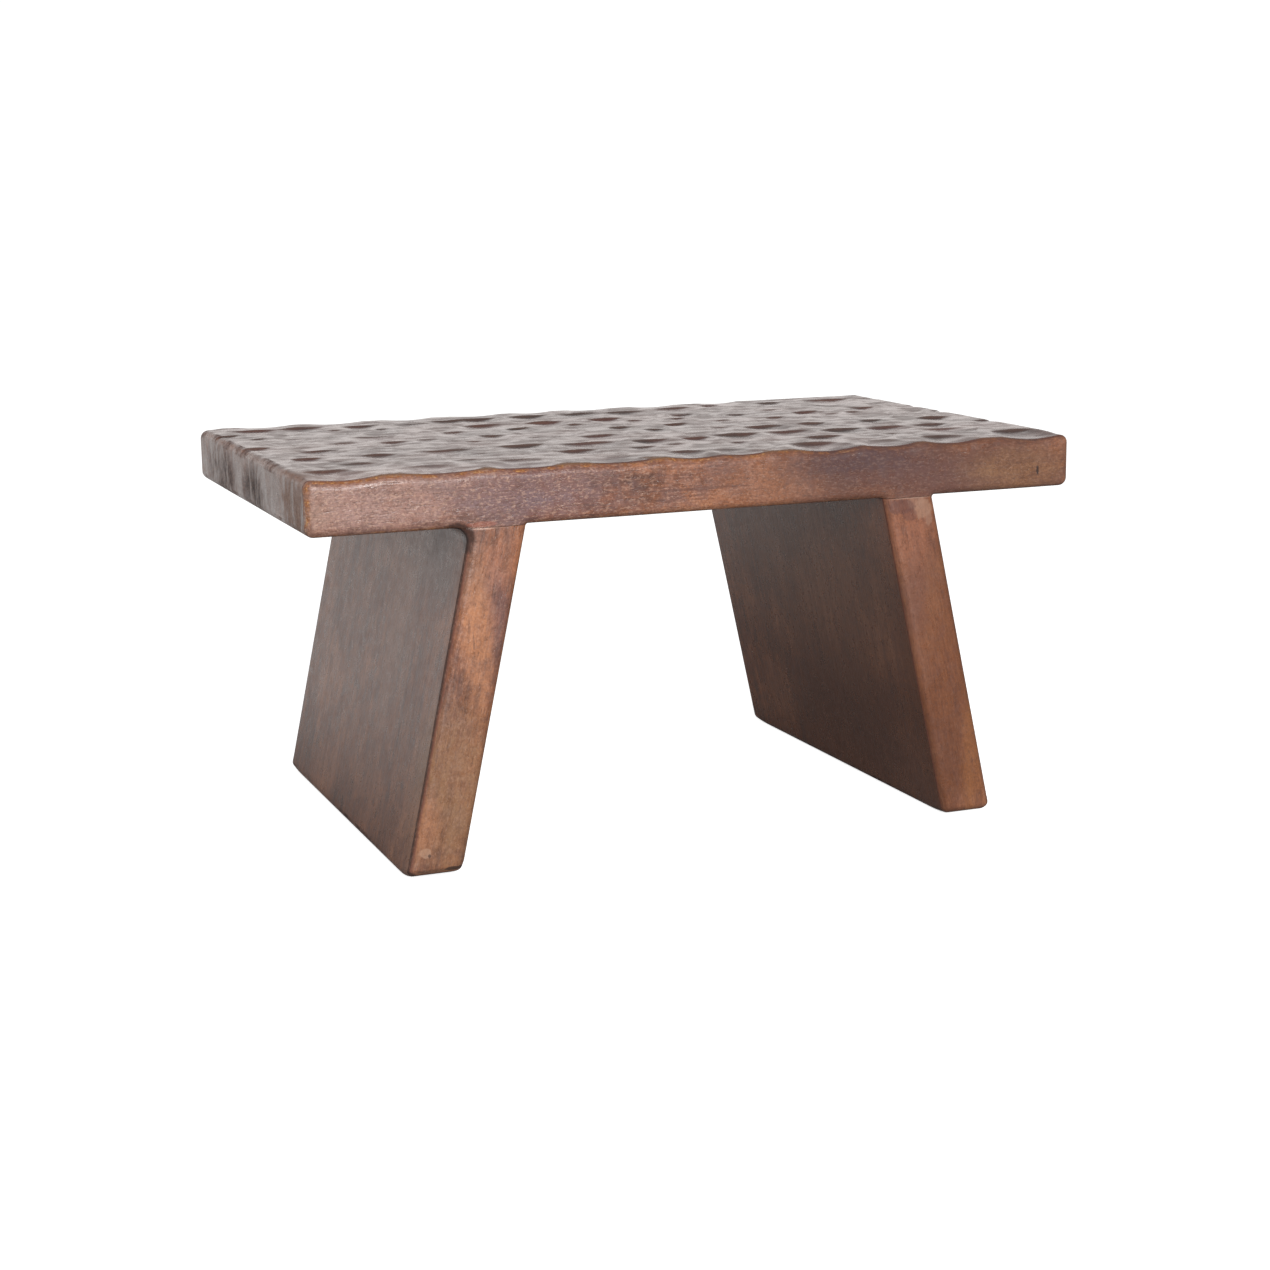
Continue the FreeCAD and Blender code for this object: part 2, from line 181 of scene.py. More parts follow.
LEG_MARKS = {
    "left": [
        ((-186.3, -149, 18.2), (3.6, 4, 3.0), (0.40, 0.25, 0.17), 0.40),
        ((-183.5, -149, 16.5), (1.1, 4, 1.0), (0.04, 0.022, 0.018), 0.70),
        # Painted shade: a dark line along the lower front arris of the left foot, where the
        # rounding under it turns into shade.
        ((-168.5, -146, 7.2), (6.5, 8, 1.3), (0.03, 0.018, 0.015), 0.80),
        ((-145, -149, 209.4), (7, 4, 0.6), (0.44, 0.28, 0.22), 0.55),
        ((-134, -149, 209.5), (6, 4, 0.4), (0.40, 0.26, 0.21), 0.25),
        # Painted shade: darkens the web in the corner where the left leg meets the seat, where
        # its rounding turns into shade.
        ((-159.5, -147, 204), (10, 12, 10), (0.030, 0.014, 0.011), 0.75),
        ((-155.2, -149, 152), (0.8, 4, 5.0), (0.10, 0.045, 0.030), 0.45),
        ((-152.6, -149, 143), (0.7, 4, 5.0), (0.10, 0.045, 0.030), 0.45),
    ],
    "right": [
        ((143.5, -149, 202.5), (6.0, 5, 6.5), (0.27, 0.155, 0.105), 0.60),
        ((138.5, -149, 206), (6.0, 5, 4.0), (0.26, 0.145, 0.100), 0.50),
        ((148, -149, 196), (2.5, 5, 5.0), (0.26, 0.145, 0.100), 0.50),
        ((129, -149, 204.5), (9.0, 5, 4.5), (0.080, 0.034, 0.030), 0.55),
        ((135, -149, 199), (5.0, 5, 4.0), (0.090, 0.038, 0.032), 0.45),
        ((136, -149, 209.5), (14, 4, 0.5), (0.30, 0.19, 0.15), 0.55),
    ],
}


def length_property(name, description, millimetres):
    return bpy.props.FloatProperty(
        name=name, description=description, default=millimetres * MM, unit="LENGTH")


def share_property(name, description, default):
    return bpy.props.FloatProperty(name=name, description=description, default=default)


def count_property(name, description, default):
    return bpy.props.IntProperty(name=name, description=description, default=default)


def colour_property(name, description, default):
    return bpy.props.FloatVectorProperty(
        name=name, description=description, default=default, subtype="COLOR")


class StoolSizes(bpy.types.PropertyGroup):
    """Sizes of the stool's wood that the frame doesn't give."""
    edge_round: length_property("Edge rounding", "Radius of the rounded arrises", 5.5)
    left_web_radius: length_property(
        "Left web radius", "Radius of the web that the rounding left in the corner under the"
        " left end of the seat", 8)
    web_radius: length_property(
        "Web radius", "Radius of the web in the other corners under the seat", 1.3)
    leg_lean: bpy.props.FloatProperty(
        name="Leg lean", description="Lean of each leg from upright",
        default=math.radians(12.3), subtype="ANGLE")
    leg_thickness: length_property(
        "Leg thickness", "Thickness of a leg slab, square to its face", 34)
    arris_steps: count_property("Arris steps", "Facets over half of a rounded arris", 4)
    top_step: length_property("Top mesh step", "Spacing of the mesh on the carved top", 1.6)
    slab_step: length_property("Slab mesh step", "Spacing of the mesh on the plain faces", 5)
    web_zone: length_property("Web zone", "Height of the finer mesh below the seat", 15)
    web_steps: count_property("Web steps", "Mesh lines over that height", 18)
    scoop_depth: length_property("Scoop depth", "Usual depth of a scoop of the gouge", 1.3)
    scoop_wall: share_property(
        "Scoop wall", "How long the steep wall at the far end of a scoop is, as a share of"
        " its width", 0.20)
    wall_bow: share_property(
        "Wall bow", "How far that wall bends back at its sides, as a share of the reach", 0.16)
    scoop_spread: share_property(
        "Scoop spread", "How far a scoop reaches to each side of its middle, as a share of"
        " the width of its wall", 0.64)
    scoop_length: share_property(
        "Scoop length", "Length of a scoop as a share of its width", 1.25)
    scoop_section: share_property(
        "Scoop section", "Power that shapes the hollow across a scoop", 1.3)
    front_scoop_spread: share_property(
        "Front scoop spread", "Spread of the scoops that run out over the front edge", 0.92)
    fan_start: share_property(
        "Fan start", "Share of that spread that they have at their wall", 0.62)
    fan_length: length_property("Fan length", "Over what length they fan out to all of it", 30)
    front_scoop_growth: share_property(
        "Front scoop growth", "How much deeper those scoops get over a length of 100 mm, as"
        " a share of their depth at the wall", 1.1)
    front_scoop_depth: length_property(
        "Front scoop depth", "Usual depth of those scoops at the wall", 1.9)
    crest_softness: length_property(
        "Crest softness", "How much the crests are sanded down", 0.2)
    ripple: length_property(
        "Ripple", "Height of the small uneven places between the scoops", 0.7)
    rim_ripple: share_property("Rim ripple", "Share of the ripple left at the rim", 0.2)
    rim_width: length_property("Rim width", "Over what width the ripple grows", 25)
    waviness: length_property(
        "Waviness", "Height of the slow waves that hand sanding leaves", 0.3)
    wear_reach: length_property(
        "Wear reach", "How far the wear of a foot reaches from its end", 24)
    bore_end_room: length_property(
        "Bore end room", "Depth of a dowel bore past the end of its dowel", 0.8)
    bore_side_room: length_property(
        "Bore side room", "Glue film between a dowel and its bore", 0.1)


class StoolColours(bpy.types.PropertyGroup):
    """Colours of the stain, the rubbed arrises and their painted shade, the painted glints and
    sheen, the dowels and the stage.
    """
    dark_stain: colour_property(
        "Dark stain", "Stain in the dark grain", (0.080, 0.036, 0.025))
    mid_stain: colour_property(
        "Middle stain", "Usual colour of the stained wood", (0.192, 0.0725, 0.0355))
    light_stain: colour_property(
        "Light stain", "Stain in the light grain", (0.343, 0.150, 0.080))
    purple_cast: colour_property(
        "Purple cast", "Cool blotches of the stain", (0.130, 0.070, 0.065))
    top_stain: colour_property(
        "Top stain", "Darker, cooler stain of the carved top", (0.050, 0.034, 0.031))
    top_red: colour_property("Top red", "Redder blotches of that stain", (0.120, 0.036, 0.031))
    top_crest: colour_property(
        "Top crest", "Thinner stain on the crests between the scoops", (0.125, 0.074, 0.058))
    gold_arris: colour_property(
        "Gold arris", "Stain rubbed to gold along the arrises", (0.235, 0.086, 0.030))
    gold_speck: colour_property(
        "Gold speck", "Bright specks in the golden line", (0.56, 0.31, 0.11))
    rubbed_crest: colour_property(
        "Rubbed crest", "Stain rubbed thin on the crests beside the front edge",
        (0.235, 0.112, 0.046))
    # The dark arris and its reddish specks are partly thick stain and partly painted shade,
    # where an arris turns away from the light.
    dark_arris: colour_property(
        "Dark arris", "Thick stain of the arrises", (0.034, 0.013, 0.009))
    red_arris: colour_property(
        "Red arris", "Reddish specks in the thick stain", (0.160, 0.055, 0.034))
    # Painted glints: pale specks that stand in for light glinting in the lacquer.
    painted_glint: colour_property("Pale speck", "Pale specks in the lacquer", (0.42, 0.26, 0.19))
    # Painted sheen: the pale grey of the wisps on the seat's ends, where the lacquer shines.
    painted_sheen_wisp: colour_property(
        "Pale wisp", "Pale wisps of the end of the seat", (0.33, 0.27, 0.25))
    beech: colour_property("Beech", "Bare beech of the dowels", (0.50, 0.33, 0.18))
    floor: colour_property("Floor", "Pale floor", (0.92, 0.92, 0.92))


def sizes():
    return bpy.context.scene.stool_sizes


def colours():
    return bpy.context.scene.stool_colours


# Boards

def arris_lines(radius):
    """Places of the mesh lines over half of an arris, from where it leaves the face."""
    steps = sizes().arris_steps
    return [radius * math.tan(math.pi / 4 * n / steps) for n in range(1, steps + 1)]


def even_lines(low, high, step):
    """Evenly spaced places from low to high, both included."""
    count = max(1, round((high - low) / step))
    return [low + (high - low) * n / count for n in range(count + 1)]


def board_lines(half, step):
    """Places of the mesh lines across a board: fine on both arrises, even between them."""
    inner = half - sizes().edge_round
    rim = [inner + place for place in arris_lines(sizes().edge_round)]
    return [-place for place in reversed(rim)] + even_lines(-inner, inner, step) + rim


def lined_block(xs, ys, zs):
    """A block whose faces are cut by mesh lines at the given places."""
    bm = bmesh.new()
    bmesh.ops.create_grid(bm, x_segments=len(xs) - 1, y_segments=len(ys) - 1, size=1)
    for vert in bm.verts:
        column = round((vert.co.x + 1) / 2 * (len(xs) - 1))
        row = round((vert.co.y + 1) / 2 * (len(ys) - 1))
        vert.co = (xs[column], ys[row], zs[-1])
    rim = [edge for edge in bm.edges if edge.is_boundary]
    lower = bmesh.ops.duplicate(bm, geom=list(bm.faces))["geom"]
    for item in lower:
        if isinstance(item, bmesh.types.BMVert):
            item.co.z = zs[0]
    for level in reversed(zs[:-1]):
        grown = bmesh.ops.extrude_edge_only(bm, edges=rim)["geom"]
        rim = [item for item in grown
               if isinstance(item, bmesh.types.BMEdge) and item.is_boundary]
        for vert in {vert for edge in rim for vert in edge.verts}:
            vert.co.z = level
    bmesh.ops.remove_doubles(bm, verts=bm.verts, dist=WELD)
    bmesh.ops.recalc_face_normals(bm, faces=bm.faces)
    return bm


def merge_flat_faces(bm, wanted):
    """Join the flat faces whose corners are all wanted into one."""
    faces = [face for face in bm.faces if all(wanted(vert.co) for vert in face.verts)]
    bmesh.ops.dissolve_faces(bm, faces=faces, use_verts=False)


def arris_share(sine):
    """How near a point of a rounded arris is to its middle, from 0 to 1."""
    cosine = math.sqrt(max(0, 1 - sine * sine))
    return (1 - max(sine, cosine)) / (1 - math.sqrt(0.5))


def arris_layers(bm):
    """Attributes for the finish: how near a vertex is to the middle of an arris, and the
    way that it faces before the carving."""
    return (bm.verts.layers.float.new("arris"), bm.verts.layers.float_vector.new("facing"))


def round_over(vert, layers, low, high):
    """The nearest point to a vertex in the core that the rounding leaves, from low to high,
    and the way from there to the vertex, which is also noted as the way that it faces."""
    arris, facing = layers
    kept = Vector(max(least, min(most, place))
                  for least, place, most in zip(low, vert.co, high))
    out = vert.co - kept
    if out.length > 0:
        out.normalize()
        vert[arris] = arris_share(max(abs(part) for part in out))
    vert[facing] = out
    return kept, out


def uneven_wave(point, waves):
    """The mean of some waves at a point, between -1 and 1."""
    x, y, z = point
    return sum(math.prod(math.sin(on_x * x + on_y * y + on_z * z + start)
                         for on_x, on_y, on_z, start in sines)
               for sines in waves) / len(waves)


def hand_sand(bm):
    """Sink the faces by the slow waves that hand sanding leaves."""
    bm.normal_update()
    moves = [vert.normal * (sizes().waviness * (uneven_wave(vert.co, SANDING_WAVES) - 1) / 2)
             for vert in bm.verts]
    for vert, move in zip(bm.verts, moves):
        if vert.co.z > sizes().edge_round:
            vert.co += move * (1 - max(0, vert.normal.z))


# Inside corners, where a leg meets the seat

def leg_corners(side):
    """The leg's outer and inner corners at the seat: the corner's place, the way along the
    underside towards the leg, the way up the leg's face, the way into the leg's wood,
    and the centre and radius of the web in the corner. All as (x, z)."""
    sign = SIDE_SIGNS[side]
    lean = sizes().leg_lean
    low, high = LEG_BOXES[side]
    inner_x = high.x if side == "left" else low.x
    outer_x = inner_x + sign * sizes().leg_thickness / math.cos(lean)
    outer_radius = sizes().left_web_radius if side == "left" else sizes().web_radius
    corners = []
    for out, corner_x, radius in ((1, outer_x, outer_radius),
                                  (-1, inner_x, sizes().web_radius)):
        corner = Vector((corner_x, JOINT_LEVEL))
        towards_leg = Vector((-out * sign, 0))
        up_face = Vector((-sign * math.sin(lean), math.cos(lean)))
        into_wood = Vector((-out * sign * math.cos(lean), -out * math.sin(lean)))
        opening = math.pi / 2 - out * lean
        centre = (corner - towards_leg * (radius / math.tan(opening / 2))
                  - Vector((0, radius)))
        corners.append((corner, towards_leg, up_face, into_wood, (centre, radius)))
    return corners


def rolled_depth(point, walls):
    """Depth of a point of the front face behind the line that the rounding followed, and
    the way into the wood there. Each wall is a point on it, the way into the wood, the way
    towards the inside corner, and the centre and radius of the web."""
    depths = []
    for wall_point, into_wood, towards_corner, (centre, radius) in walls:
        away = point - centre
        if away.dot(towards_corner) > 0:
            depths.append((away.length - radius, away.normalized()))
        else:
            depths.append(((point - wall_point).dot(into_wood), into_wood))
    return min(depths, key=lambda item: item[0])


def fill_corner(vert, facing, walls):
    """Bring a vertex of a leg's side to the web in the corner above it."""
    for wall_point, into_wood, up_face, (centre, radius) in walls:
        point = Vector((vert.co.x, vert.co.z))
        if (point - centre).dot(up_face) > 0 and (point - wall_point).dot(into_wood) < radius:
            rise = min(1, (point.y - centre.y) / radius)
            web_x = centre.x + math.copysign(radius * math.sqrt(1 - rise * rise), into_wood.x)
            wall_x = wall_point.x + (point.y - wall_point.y) * up_face.x / up_face.y
            vert.co.x += web_x - wall_x
            if abs(vert[facing].y) < SQUARE:
                away = Vector((web_x, point.y)) - centre
                vert[facing] = (-away.x / radius, 0, -away.y / radius)


def shape_web(vert, layers, walls, plain_depth, half_depth):
    """Bring a vertex of a front or back arris to the surface that the rounding left."""
    arris, facing = layers
    radius = sizes().edge_round
    depth, into_wood = rolled_depth(Vector((vert.co.x, vert.co.z)), walls)
    if abs(depth - plain_depth) > TOUCH:
        sine = 1 - min(max(depth, 0) / radius, 1)
        cosine = math.sqrt(1 - sine * sine)
        vert.co.y = math.copysign(half_depth - radius * (1 - cosine), vert.co.y)
        vert[arris] = arris_share(sine)
        vert[facing] = (-into_wood.x * sine, math.copysign(cosine, vert.co.y),
                        -into_wood.y * sine)


def foot_wear(point, side, half_depth):
    """How far the edge of a sole is worn up at a point near its front or back end."""
    end = "back" if point.y > 0 else "front"
    share = 1 - (half_depth - abs(point.y)) / sizes().wear_reach
    if share <= 0:
        return 0
    return FOOT_WEAR[side, end] * MM * share * share * (1 - point.z / sizes().edge_round / 2)


# Finishing

BORE_SIDES = 32
SHARP_ANGLE = math.radians(50)


def mesh_object(name, bm):
    """Put a bmesh into the scene as an object."""
    mesh = bpy.data.meshes.new(name)
    bm.to_mesh(mesh)
    bm.free()
    made = bpy.data.objects.new(name, mesh)
    bpy.context.scene.collection.objects.link(made)
    return made


def bore_cutter(names):
    """Cylinders a little larger than the dowels, as one loose object."""
    bm = bmesh.new()
    for name in names:
        low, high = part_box(name)
        radius = (high.x - low.x) / 2 + sizes().bore_side_room
        length = high.z - low.z + 2 * sizes().bore_end_room
        bmesh.ops.create_cone(
            bm, cap_ends=True, segments=BORE_SIDES, radius1=radius, radius2=radius,
            depth=length, matrix=Matrix.Translation((low + high) / 2))
    return mesh_object("bore_cutter", bm)


def finish_board(name, bm, material, node, dowels):
    """Turn a bmesh into a smooth, bored board that stands for a node of the frame."""
    bmesh.ops.recalc_face_normals(bm, faces=bm.faces)
    board = mesh_object(name, bm)
    cutter = bore_cutter(dowels)
    bores = board.modifiers.new("Dowel bores", "BOOLEAN")
    bores.operation, bores.solver, bores.object = "DIFFERENCE", "EXACT", cutter
    depsgraph = bpy.context.evaluated_depsgraph_get()
    unbored = board.data
    board.data = bpy.data.meshes.new_from_object(board.evaluated_get(depsgraph))
    board.modifiers.clear()
    bpy.data.meshes.remove(unbored)
    bpy.data.meshes.remove(cutter.data)
    board.data.name = name
    board.data.shade_smooth()
    board.data.set_sharp_from_angle(angle=SHARP_ANGLE)
    board.data.materials.clear()
    board.data.materials.append(material)
    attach(board, BODY)
    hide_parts(node)
    return board


# Materials

VECTOR, FLOAT = "NodeSocketVector", "NodeSocketFloat"


def feed(tree, socket, value):
    """Link a socket to an output, or set it to a plain value."""
    if isinstance(value, bpy.types.NodeSocket):
        tree.links.new(value, socket)
    elif value is not None:
        socket.default_value = value


def shader_node(tree, kind, inputs=None, **settings):
    """Add a node, set its settings, and fill or link its inputs."""
    made = tree.nodes.new(kind)
    for name, value in settings.items():
        setattr(made, name, value)
    for name, value in (inputs or {}).items():
        feed(tree, made.inputs[name], value)
    return made


def mix_colour(tree, factor, first, second):
    """Mix two colours. A plain colour is given as its red, green and blue."""
    first, second = (opaque(colour) if not isinstance(colour, bpy.types.NodeSocket)
                     else colour for colour in (first, second))
    return shader_node(tree, "ShaderNodeMix", {0: factor, 6: first, 7: second},
                       data_type="RGBA").outputs[2]


def calc(tree, operation, *values):
    return shader_node(tree, "ShaderNodeMath", dict(enumerate(values)),
                       operation=operation).outputs[0]


def times(tree, first, second):
    return calc(tree, "MULTIPLY", first, second)


def weighted(tree, start, *terms):
    """Start plus each value times its weight."""
    total = start
    for value, weight in terms:
        total = calc(tree, "MULTIPLY_ADD", value, weight, total)
    return total


def vector_calc(tree, operation, *values, output=0):
    return shader_node(tree, "ShaderNodeVectorMath", dict(enumerate(values)),
                       operation=operation).outputs[output]


def split(tree, vector):
    """The parts of a vector, under X, Y and Z."""
    return shader_node(tree, "ShaderNodeSeparateXYZ", {0: vector}).outputs


def object_place(tree):
    return shader_node(tree, "ShaderNodeTexCoord").outputs["Object"]


def turned(tree, vector, turn):
    return shader_node(tree, "ShaderNodeMapping", {
        "Vector": vector, "Rotation": turn}).outputs[0]


def attribute(tree, name, output="Fac"):
    return shader_node(tree, "ShaderNodeAttribute", attribute_name=name).outputs[output]


def between(tree, value, low, high):
    """Map a value smoothly from low and high to 0 and 1."""
    return shader_node(tree, "ShaderNodeMapRange", {
        "Value": value, "From Min": low, "From Max": high},
        interpolation_type="SMOOTHSTEP").outputs[0]


def beside(tree, value, place, low, high):
    """The same, with low and high counted from a place that is itself worked out."""
    return between(tree, value, *(calc(tree, "ADD", place, step) for step in (low, high)))


def noise(tree, vector, scale=1.0, detail=2.0, roughness=0.5, distortion=0.0):
    return shader_node(tree, "ShaderNodeTexNoise", {
        "Vector": vector, "Scale": scale, "Detail": detail, "Roughness": roughness,
        "Distortion": distortion}).outputs[0]


def stretched_noise(tree, vector, scales, **settings):
    return noise(tree, vector_calc(tree, "MULTIPLY", vector, scales), **settings)


def opaque(colour):
    return (*colour, 1.0)


def new_group(name, inputs, outputs):
    """An empty node group. Inputs are name, kind and default; outputs are names."""
    tree = bpy.data.node_groups.new(name, "ShaderNodeTree")
    for socket_name, kind, default in inputs:
        socket = tree.interface.new_socket(socket_name, in_out="INPUT", socket_type=kind)
        if default is not None:
            socket.default_value = default
    for socket_name in outputs:
        tree.interface.new_socket(socket_name, in_out="OUTPUT", socket_type=FLOAT)
    return (tree, tree.nodes.new("NodeGroupInput").outputs,
            tree.nodes.new("NodeGroupOutput").inputs)


def feed_patterns(tree, out, patterns):
    """Feed each output with a pattern, mapped from its low and high to 0 and 1."""
    for name, pattern, low, high in patterns:
        feed(tree, out[name], between(tree, pattern, low, high))


def grain_group(name):
    """Grain along X: broad streaks, fine fibres, open pores and short dark flecks."""
    tree, given, out = new_group(
        name, [("Vector", VECTOR, None), ("Streak Width", FLOAT, 9 * MM)],
        ["Streaks", "Fibres", "Pores", "Flecks"])
    vector, width = given["Vector"], given["Streak Width"]
    scales = shader_node(tree, "ShaderNodeCombineXYZ", {
        axis: calc(tree, "DIVIDE", share, width)
        for axis, share in enumerate((0.07, 1.0, 1.0))}).outputs[0]
    feed_patterns(tree, out, (
        ("Streaks", stretched_noise(tree, vector, scales, detail=5.0, roughness=0.6,
                                    distortion=0.3), 0.28, 0.72),
        ("Fibres", stretched_noise(tree, vector, (80, 760, 760), detail=3.0,
                                   roughness=0.62), 0.30, 0.70),
        ("Pores", stretched_noise(tree, vector, (190, 1500, 1500), detail=1.0), 0.60, 0.74),
        ("Flecks", stretched_noise(tree, vector, (60, 420, 420), detail=2.0,
                                   roughness=0.6), 0.61, 0.72)))
    return tree


def cloud_group(name):
    """Uneven uptake of the stain: soft clouds, smaller patches and fine speckle, and the mask
    of the painted glints of the lacquer.
    """
    tree, given, out = new_group(
        name, [("Vector", VECTOR, None), ("Cloud Size", FLOAT, 50 * MM)],
        ["Clouds", "Patches", "Mottle", "Speckle", "Glints"])
    vector = given["Vector"]
    sized = vector_calc(tree, "DIVIDE", vector, shader_node(
        tree, "ShaderNodeCombineXYZ",
        {axis: given["Cloud Size"] for axis in range(3)}).outputs[0])
    feed_patterns(tree, out, (
        ("Clouds", noise(tree, sized, 1.0, 3.0, 0.5, 0.4), 0.33, 0.67),
        ("Patches", noise(tree, sized, 2.9, 4.0, 0.62, 0.9), 0.38, 0.64),
        ("Mottle", noise(tree, vector, 150, 4.0, 0.7), 0.36, 0.64),
        ("Speckle", noise(tree, vector, 660, 2.0, 0.7), 0.44, 0.62),
        ("Glints", stretched_noise(tree, vector, (330, 720, 720), detail=2.0,
                                   roughness=0.7), 0.51, 0.64)))
    return tree


def arris_group(name):
    """The finish of the arrises beside the front and back faces: a thin broken line where the
    stain is rubbed to gold, and beyond it a dark band, partly thick stain and partly painted
    shade where the arris turns away from the light."""
    tree, given, out = new_group(
        name, [("Vector", VECTOR, None), ("Arris", FLOAT, 0.0), ("Facing", VECTOR, None),
               ("Spread", FLOAT, 0.0), ("Dark Reach", FLOAT, 0.5)],
        ["Gold", "Dark", "Red", "Specks"])
    vector, reach = given["Vector"], given["Dark Reach"]
    facing = split(tree, given["Facing"])
    wander = weighted(tree, -0.17, (noise(tree, vector, 48.0), 0.22),
                      (noise(tree, vector, 380.0, 3.0, 0.65), 0.14))
    level = calc(tree, "ADD", calc(tree, "ABSOLUTE", facing["Y"]), wander)
    upright = calc(tree, "SUBTRACT", 1.0, calc(tree, "ABSOLUTE", facing["Z"]))
    spread = times(tree, given["Spread"], times(tree, upright, upright))
    rim = between(tree, given["Arris"], 0.0, 0.06)
    gold = times(tree, beside(tree, level, calc(tree, "SUBTRACT", 0.36, spread), -0.06, 0.10),
                 beside(tree, level, times(tree, spread, 0.50), 0.80, 0.66))
    dark = times(tree, between(tree, level, 0.0, 0.07),
                 beside(tree, level, reach, 0.08, -0.12))
    feed(tree, out["Gold"], times(tree, gold, rim))
    feed(tree, out["Dark"], times(tree, dark, rim))
    feed(tree, out["Red"], beside(tree, level, reach, -0.40, -0.02))
    feed(tree, out["Specks"], between(tree, noise(tree, vector, 760.0, 1.0), 0.56, 0.66))
    return tree


def mark_group(name):
    """A patch round a centre, with a ragged or a soft border."""
    tree, given, out = new_group(
        name, [("Vector", VECTOR, None), ("Centre", VECTOR, (0, 0, 0)),
               ("Half Size", VECTOR, (0.01, 0.01, 0.01)), ("Ragged", FLOAT, 0.5),
               ("Soft", FLOAT, 0.2)], ["Mark"])
    away = vector_calc(tree, "SUBTRACT", given["Vector"], given["Centre"])
    share = vector_calc(tree, "DIVIDE", away, given["Half Size"])
    length = vector_calc(tree, "LENGTH", share, output=1)
    level = weighted(tree, length, (calc(
        tree, "SUBTRACT", noise(tree, given["Vector"], 260.0, 4.0, 0.65), 0.5),
        given["Ragged"]))
    feed(tree, out["Mark"], between(tree, level, calc(tree, "ADD", 1.0, given["Soft"]),
                                    calc(tree, "SUBTRACT", 1.0, given["Soft"])))
    return tree


GROUP_MAKERS = {"Hardwood grain": grain_group, "Stain clouds": cloud_group,
                "Arris finish": arris_group, "Mark": mark_group}


def shared(tree, name, **inputs):
    """The outputs of a shared node group, built once, with this material's values."""
    group = bpy.data.node_groups.get(name) or GROUP_MAKERS[name](name)
    made = shader_node(tree, "ShaderNodeGroup", node_tree=group)
    for key, value in inputs.items():
        feed(tree, made.inputs[key.replace("_", " ").title()], value)
    return made.outputs


def new_material(name):
    """A material with an empty node tree and its shader."""
    material = bpy.data.materials.new(name)
    material.use_nodes = True
    tree = material.node_tree
    tree.nodes.clear()
    shader = tree.nodes.new("ShaderNodeBsdfPrincipled")
    output = tree.nodes.new("ShaderNodeOutputMaterial")
    tree.links.new(shader.outputs[0], output.inputs[0])
    return material, tree, shader


